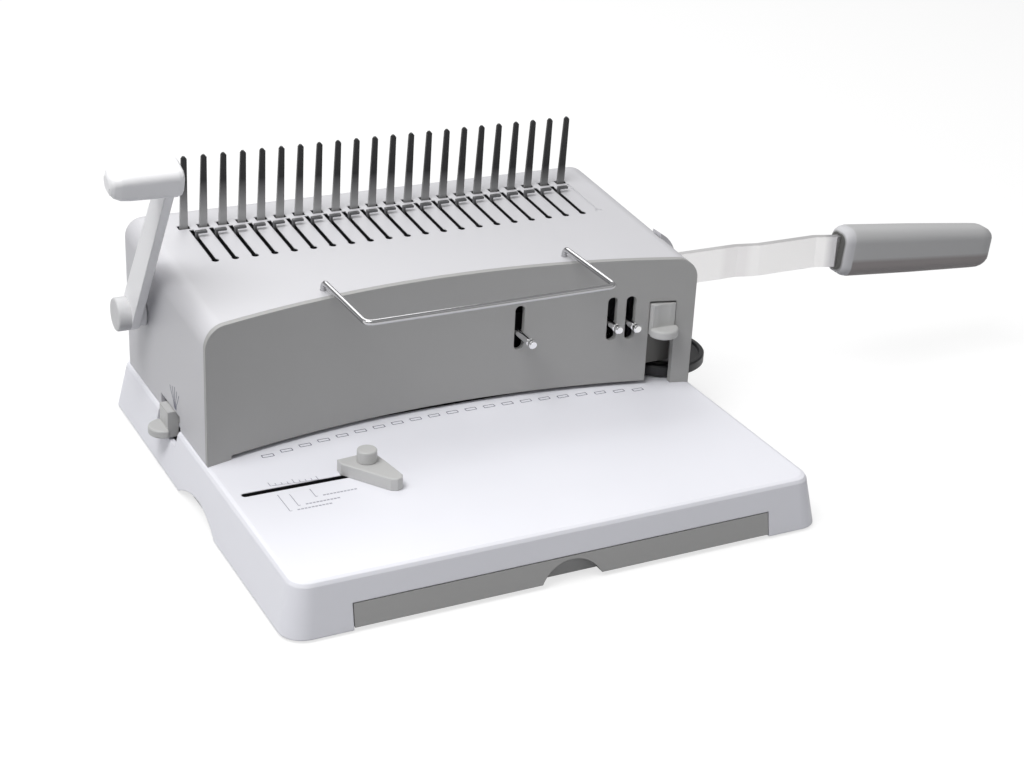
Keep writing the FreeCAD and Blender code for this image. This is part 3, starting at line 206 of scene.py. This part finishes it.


# Where a surface changes tone: walls of the slots, foot of the tines, grip and bar. All but the foot of the
# tines are painted shade, with one painted highlight on the grip's end
# Painted shade on the walls of the comb slots and of the guide slot, below a plane
COMB_SLOT_SHADE = {"Slope": 0.08, "Level": 0.1354, "Half X": 0.160, "Mid X": 0.0, "Mid Y": 0.112,
              "Half Y": 0.034}
GUIDE_SLOT_SHADE = {"Slope": 0.0, "Level": 0.0366, "Half X": 0.049, "Mid X": -0.129, "Mid Y": -0.0575,
              "Half Y": 0.004}
TINE_FOOT = (0.1465, 0.172, (0.40, 0.40, 0.405))
# Painted shade: the grip's underside darker, below a plane tilted with the grip
GRIP_UNDERSIDE_SHADE = (0.1335, 0.1370, (0.31, 0.285, 0.285))
# At the grip's end, along X: a painted shadow where the bar goes in, then a painted highlight on the rim of
# the end face
GRIP_END_SHADE_AND_HIGHLIGHT = (
    (0.3180, 0.3248, 0.0005, (0.10, 0.10, 0.095)),
    (0.3248, 0.3322, 0.0005, (0.58, 0.58, 0.60)),
)
# Painted shade where the bends of the bar turn away from the light
BAR_BEND_SHADE = (
    (0.236, 0.258, 0.003, (0.90, 0.885, 0.89)),
    (0.328, 0.345, 0.003, (0.62, 0.61, 0.63)),
)

# Cover and base carry painted shade, near black, on the walls of their slots
COVER = material("cover_moulding", (0.60, 0.597, 0.622), 0.45, edge=0.001, recess=COMB_SLOT_SHADE)
BASE = material("base_moulding", (0.84, 0.842, 0.895), 0.40, edge=0.001, recess=GUIDE_SLOT_SHADE)
LEVER = material("lever_moulding", (0.90, 0.90, 0.915), 0.35, edge=0.0015)
PANEL = material("panel_moulding", (0.378, 0.377, 0.372), 0.48)
KNOB = material("knob_moulding", (0.52, 0.52, 0.515), 0.40)
CAP = material("cap_moulding", (0.60, 0.60, 0.61), 0.40)
DRAWER = material("drawer_moulding", (0.415, 0.413, 0.408), 0.5)
TINE = material("tine_moulding", (0.011, 0.011, 0.012), 0.45, ramp=TINE_FOOT, tilt=-4)
# Grip: painted shade on its underside, a painted shadow and a painted highlight at its end
GRIP = material("grip_moulding", (0.51, 0.51, 0.515), 0.5, edge=0.004, ramp=GRIP_UNDERSIDE_SHADE, bands=GRIP_END_SHADE_AND_HIGHLIGHT,
                tilt=-5.5)
DIAL = material("dial_moulding", (0.012, 0.012, 0.014), 0.35)
STEEL = material("bright_steel", (0.97, 0.955, 0.95), 0.32, 0.85, 500, 0.03, edge=0.0004)
# Bar: painted shade on its bends
BAR = material("bar_steel", (0.98, 0.965, 0.965), 0.32, 0.85, 500, 0.03, edge=0.0004, bands=BAR_BEND_SHADE)
HOOK = material("hook_steel", (0.15, 0.15, 0.155), 0.4, 0.7, 500, 0.03, edge=0.0003)
WIRE = material("wire_plating", (0.52, 0.52, 0.53), 0.16, 1.0, 800, 0.01, edge=0.0003)
PLATED = material("bright_plating", (0.86, 0.86, 0.87), 0.10, 1.0, 800, 0.01, edge=0.0003)
SCREW = material("screw_steel", (0.50, 0.51, 0.53), 0.32, 1.0, 600, 0.04, edge=0.0003)
SHEET = material("plated_sheet", (0.55, 0.56, 0.57), 0.4, 0.9, 300, 0.05)
RUBBER = material("foot_rubber", (0.02, 0.02, 0.02), 0.8)
OILED = material("oiled_steel", (0.03, 0.03, 0.032), 0.5, 0.6)
KEEPER = material("keeper_sheet", (0.14, 0.137, 0.13), 0.5, 0.4)
INK = material("printed_ink", (0.20, 0.20, 0.26), 0.6)
FAINT_INK = material("faint_ink", (0.42, 0.42, 0.48), 0.6)

SLOT_LOOKS = {
    "white_plastic": COVER, "grey_plastic": PANEL, "drawer_plastic": DRAWER, "dark_plastic": TINE,
    "lever_plastic": LEVER, "grip_plastic": GRIP, "dial_plastic": DIAL, "bright_steel": STEEL,
    "plated_steel": PLATED, "tool_steel": OILED, "sheet_steel": SHEET, "screw_steel": SCREW,
    "foot_rubber": RUBBER,
}
OWN_LOOKS = {
    "paper_guide": KNOB, "guide_knob": KNOB, "size_slider": KNOB, "margin_slider": KNOB,
    "lever_cap": CAP, "handle_bar": BAR, "base_tray": BASE, "comb_hooks": HOOK, "wire_support": WIRE,
    "hook_carriage": OILED, "carriage_rails": OILED, "tine_bar": OILED, "punch_frame": OILED,
    "slider_keeper": KEEPER,
}
for entry in frame["record"]["subparts"]:
    node = frame["nodes"][entry["node"]]
    look = OWN_LOOKS.get(entry["node"], SLOT_LOOKS[entry["material_slot"]])
    for n in range(len(node.data.materials)):
        node.data.materials[n] = look


# Printing
def ruled(lines, width):
    """Rows of start and end points with a line width added to each."""
    lines = np.asarray(lines, float)
    return np.column_stack((lines, np.full(len(lines), width)))


def printed_strips(name, strips, look, right, up, outward, level):
    """Each strip (a0, b0, a1, b1, width) is a thin box on a flat wall with axes right, up and outward. Its
    corners lie half the width to either side of the line, and the same four again one ink film out."""
    start = strips[:, 0:2]
    end = strips[:, 2:4]
    run = (end - start) / np.linalg.norm(end - start, axis=1, keepdims=True)
    side = np.column_stack((-run[:, 1], run[:, 0])) * strips[:, 4:5] / 2
    plan = np.stack((start - side, end - side, end + side, start + side), axis=1)
    wall = plan[..., 0:1] * np.array(right) + plan[..., 1:2] * np.array(up) + level * np.array(outward)
    points = np.stack((wall, wall + INK_THICK * np.array(outward)), axis=1).reshape(-1, 3) * MM
    box = np.array(((3, 2, 1, 0), (4, 5, 6, 7), (0, 1, 5, 4), (1, 2, 6, 5), (2, 3, 7, 6), (3, 0, 4, 7)))
    faces = (8 * np.arange(len(strips))[:, None, None] + box).reshape(-1, 4)
    mesh = bpy.data.meshes.new(name)
    mesh.from_pydata(points.tolist(), [], faces.tolist())
    mesh.materials.append(look)
    made = bpy.data.objects.new(name, mesh)
    scene.collection.objects.link(made)
    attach(made, "machine")


def arc_y(x):
    """Y of the concave front face at x: the circle through the middle of the face."""
    return ARC_MID - ARC_RADIUS + np.sqrt(ARC_RADIUS ** 2 - x * x)


def on_base(name, strips, look):
    """Printed strips on the top of the base, in plan."""
    printed_strips(name, strips, look, (1, 0, 0), (0, 1, 0), (0, 0, 1), BASE_TOP)


# One outlined rectangle in front of each punch
MARK_HALF = np.array((4.0, 1.7))
MARK_LINE = 0.6
MARK_OFFSET = 9.0
hole_x = (np.arange(HOLES) - (HOLES - 1) / 2) * PITCH
hole_mid = np.column_stack((hole_x, arc_y(hole_x) - MARK_OFFSET))
corner = np.array(((-1, -1), (1, -1), (1, 1), (-1, 1))) * MARK_HALF
outline = np.concatenate((corner, np.roll(corner, -1, axis=0)), axis=1)
marks = (np.tile(hole_mid, 2)[:, None, :] + outline).reshape(-1, 4)
on_base("hole_marks", ruled(marks, MARK_LINE), INK)

# Scale behind the guide slot, and in front of it three leaders with rows of plain dashes
SCALE_START = np.array((-156.0, -52.0))
TICK_STEP = np.array((4.0, -0.375))
TICKS = 9
LONG_TICK = 5.0
SHORT_TICK = 3.0
LONG_EVERY = 4
LEADERS = ((-156, -65, -88, 24), (-148.5, -67, -83, 24), (-134, -65, -76, 24))
FOOT = 1.5
DASH_START = 5.0
DASH = 1.8
DASH_STEP = 2.4
DASH_LINE = 1.3
count = np.arange(TICKS)
tick_foot = SCALE_START + count[:, None] * TICK_STEP
tick_rise = np.where(count % LONG_EVERY == 0, LONG_TICK, SHORT_TICK)
tick_top = tick_foot + np.column_stack((np.zeros(TICKS), tick_rise))
scale = [ruled(np.concatenate((tick_foot, tick_top), axis=1), FINE_LINE)]
scale.append(ruled([(*tick_foot[0], *tick_foot[-1])], FINE_LINE))
for x, near, far, row in LEADERS:
    scale.append(ruled([(x, near, x, far), (x, far, x + FOOT, far)], FINE_LINE))
    left = x + DASH_START + np.arange(0, row, DASH_STEP)
    level = np.full(len(left), far)
    scale.append(ruled(np.column_stack((left, level, left + DASH, level)), DASH_LINE))
on_base("guide_scale", np.concatenate(scale), FAINT_INK)

# Fan of wavy lines above the margin slider: right and up as seen from outside the left wall
FAN_LINES = 5
FAN_STEPS = 8
FAN_FOOT = -57.6
FAN_FOOT_STEP = 1.2
FAN_TOP = -66.0
FAN_TOP_STEP = 5.0
FAN_LOW = 48.8
FAN_HEIGHT = 16.5
FAN_CROWN = 1.4
FAN_WAVE = 0.45
FAN_CURVE = 1.6
FAN_LINE = 0.8
line = np.arange(FAN_LINES)[:, None]
part = np.linspace(0, 1, FAN_STEPS + 1)
foot = FAN_FOOT + FAN_FOOT_STEP * line
tip = FAN_TOP + FAN_TOP_STEP * line
fan_right = foot + (tip - foot) * part ** FAN_CURVE + FAN_WAVE * np.sin(2 * math.pi * part + line)
fan_up = FAN_LOW + (FAN_HEIGHT - FAN_CROWN * np.abs(line - (FAN_LINES - 1) / 2)) * part
fan = np.stack((fan_right, fan_up), axis=-1)
fan_lines = np.concatenate((fan[:, :-1], fan[:, 1:]), axis=-1).reshape(-1, 4)
fan_strips = ruled(fan_lines, FAN_LINE)
printed_strips("margin_icon", fan_strips, INK, (0, -1, 0), (0, 0, 1), (-1, 0, 0), LEFT_WALL)


# Floor: white to the camera and in reflections, darker to scattered light, so side walls keep their shade
FLOOR_SIZE = 30
FLOOR_WHITE = (0.9, 0.9, 0.9)
FLOOR_BOUNCE = (0.25, 0.255, 0.27)
FLOOR_ROUGH = 0.9
FLOOR_SHINE = 0.1
FLOOR_GLOW = 1.12
GLOW_SHARE = 0.64
bpy.ops.mesh.primitive_plane_add(size=FLOOR_SIZE, location=(0, 0, 0))
floor = bpy.context.object
floor.name = "floor"
ground = bpy.data.materials.new("floor_white")
ground.use_nodes = True
tree = ground.node_tree
matt = tree.nodes["Principled BSDF"]
matt.inputs["Roughness"].default_value = FLOOR_ROUGH
matt.inputs["Specular IOR Level"].default_value = FLOOR_SHINE
ray = tree.nodes.new("ShaderNodeLightPath")
floor_tone = mixed(tree, ray.outputs["Is Diffuse Ray"], FLOOR_WHITE, FLOOR_BOUNCE)
tree.links.new(floor_tone, matt.inputs["Base Color"])
glow = tree.nodes.new("ShaderNodeEmission")
glow.inputs["Strength"].default_value = FLOOR_GLOW
blend = tree.nodes.new("ShaderNodeMixShader")
share = spread(tree, ray.outputs["Is Camera Ray"], 0, 1, 0, GLOW_SHARE)
tree.links.new(share, blend.inputs["Fac"])
tree.links.new(matt.outputs["BSDF"], blend.inputs[1])
tree.links.new(glow.outputs["Emission"], blend.inputs[2])
tree.links.new(blend.outputs["Shader"], tree.nodes["Material Output"].inputs["Surface"])
floor.data.materials.append(ground)

# Studio light: each lamp's name, place, aim, power and size
SKY = 0.38
LAMPS = (
    ("key", (-0.75, -0.3, 1.65), (0, 0, 0.08), 23, 1.0),
    ("fill", (1.4, -1.3, 1.2), (0.1, 0, 0.08), 2, 1.4),
    ("left", (-1.9, 0.2, 0.7), (0, 0, 0.06), 3, 1.0),
    ("back", (0.2, 1.6, 1.6), (0, 0, 0.1), 14, 1.4),
)
world = bpy.data.worlds.new("studio")
scene.world = world
world.use_nodes = True
world.node_tree.nodes["Background"].inputs["Color"].default_value = (1, 1, 1, 1)
world.node_tree.nodes["Background"].inputs["Strength"].default_value = SKY
for name, place, aim, power, size in LAMPS:
    light = bpy.data.lights.new(name, "AREA")
    light.energy = power
    light.size = size
    lamp = bpy.data.objects.new(name, light)
    lamp.location = place
    lamp.rotation_euler = (Vector(aim) - Vector(place)).to_track_quat("-Z", "Y").to_euler()
    scene.collection.objects.link(lamp)

# Camera at the photograph's viewing angle
IMAGE_WIDTH = 1024
IMAGE_HEIGHT = 768
FOCAL_PIXELS = 1942
CENTRE_PIXEL = (579, 370)
SENSOR = 36
CAMERA_PLACE = (-0.5394, -1.1095, 0.6442)
CAMERA_RIGHT = Vector((0.8788, -0.4733, 0.0604))
CAMERA_UP = Vector((0.1503, 0.3947, 0.9064))
lens = bpy.data.cameras.new("photo_view")
lens.sensor_width = SENSOR
lens.lens = FOCAL_PIXELS / IMAGE_WIDTH * SENSOR
lens.shift_x = (IMAGE_WIDTH / 2 - CENTRE_PIXEL[0]) / IMAGE_WIDTH
lens.shift_y = (CENTRE_PIXEL[1] - IMAGE_HEIGHT / 2) / IMAGE_WIDTH
camera = bpy.data.objects.new("photo_view", lens)
turn = Matrix((CAMERA_RIGHT, CAMERA_UP, CAMERA_RIGHT.cross(CAMERA_UP))).transposed().to_4x4()
camera.matrix_world = Matrix.Translation(CAMERA_PLACE) @ turn
scene.collection.objects.link(camera)
scene.camera = camera
scene.view_settings.view_transform = "Standard"
